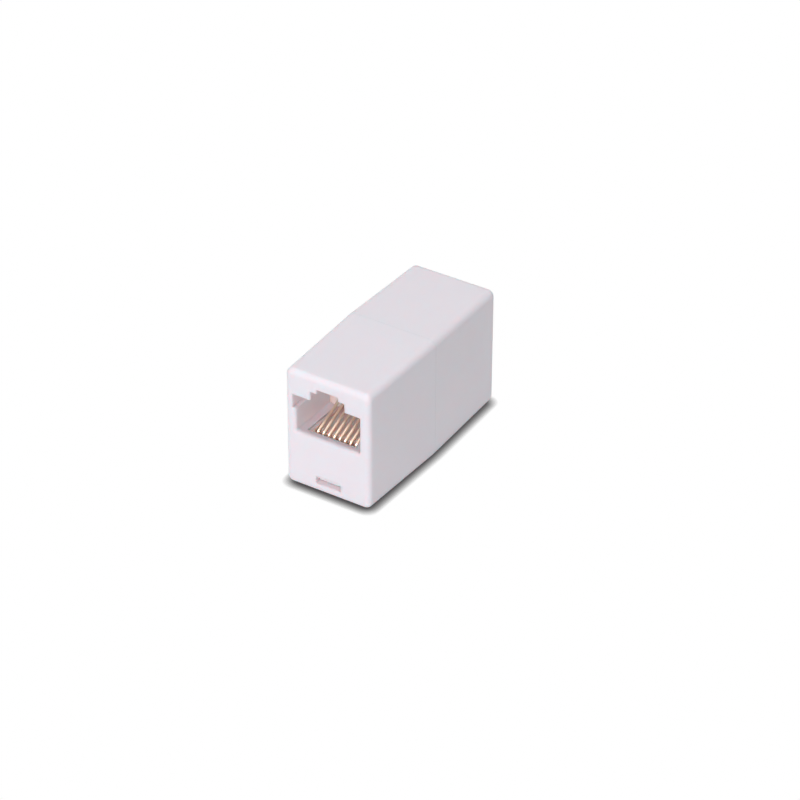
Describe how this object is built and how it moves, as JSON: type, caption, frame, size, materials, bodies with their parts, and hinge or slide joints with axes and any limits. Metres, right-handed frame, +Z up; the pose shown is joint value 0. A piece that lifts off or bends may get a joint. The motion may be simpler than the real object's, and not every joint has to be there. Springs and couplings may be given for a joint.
{
  "type": "inline modular socket coupler",
  "caption": "White box-shaped inline coupler with a keyed modular socket in each end, joining two network cable plugs pin to pin.",
  "frame": {"origin": "middle of the case's plan, on the lowest line of its underside, at the seam", "axes": "+Z up, with the latches of both sockets uppermost; Y along the case, front face towards -Y; X across"},
  "size_m": [0.0164, 0.0374, 0.022],
  "materials": {
    "white_shell": "smooth satin moulded ABS",
    "insert_plastic": "plain moulded",
    "gold_plate": "gold plated spring wire",
    "board_laminate": "solder resist on glass laminate",
    "solder": "tin solder"
  },
  "bodies": {
    "root": {"front_shell": "white_shell", "rear_shell": "white_shell", "front_insert": "insert_plastic", "rear_insert": "insert_plastic", "circuit_board": "board_laminate", "front_solder": "solder", "rear_solder": "solder", "front_contact_1": "gold_plate", "front_contact_2": "gold_plate", "front_contact_3": "gold_plate", "front_contact_4": "gold_plate", "front_contact_5": "gold_plate", "front_contact_6": "gold_plate", "front_contact_7": "gold_plate", "front_contact_8": "gold_plate", "rear_contact_1": "gold_plate", "rear_contact_2": "gold_plate", "rear_contact_3": "gold_plate", "rear_contact_4": "gold_plate", "rear_contact_5": "gold_plate", "rear_contact_6": "gold_plate", "rear_contact_7": "gold_plate", "rear_contact_8": "gold_plate"}
  },
  "joints": []
}
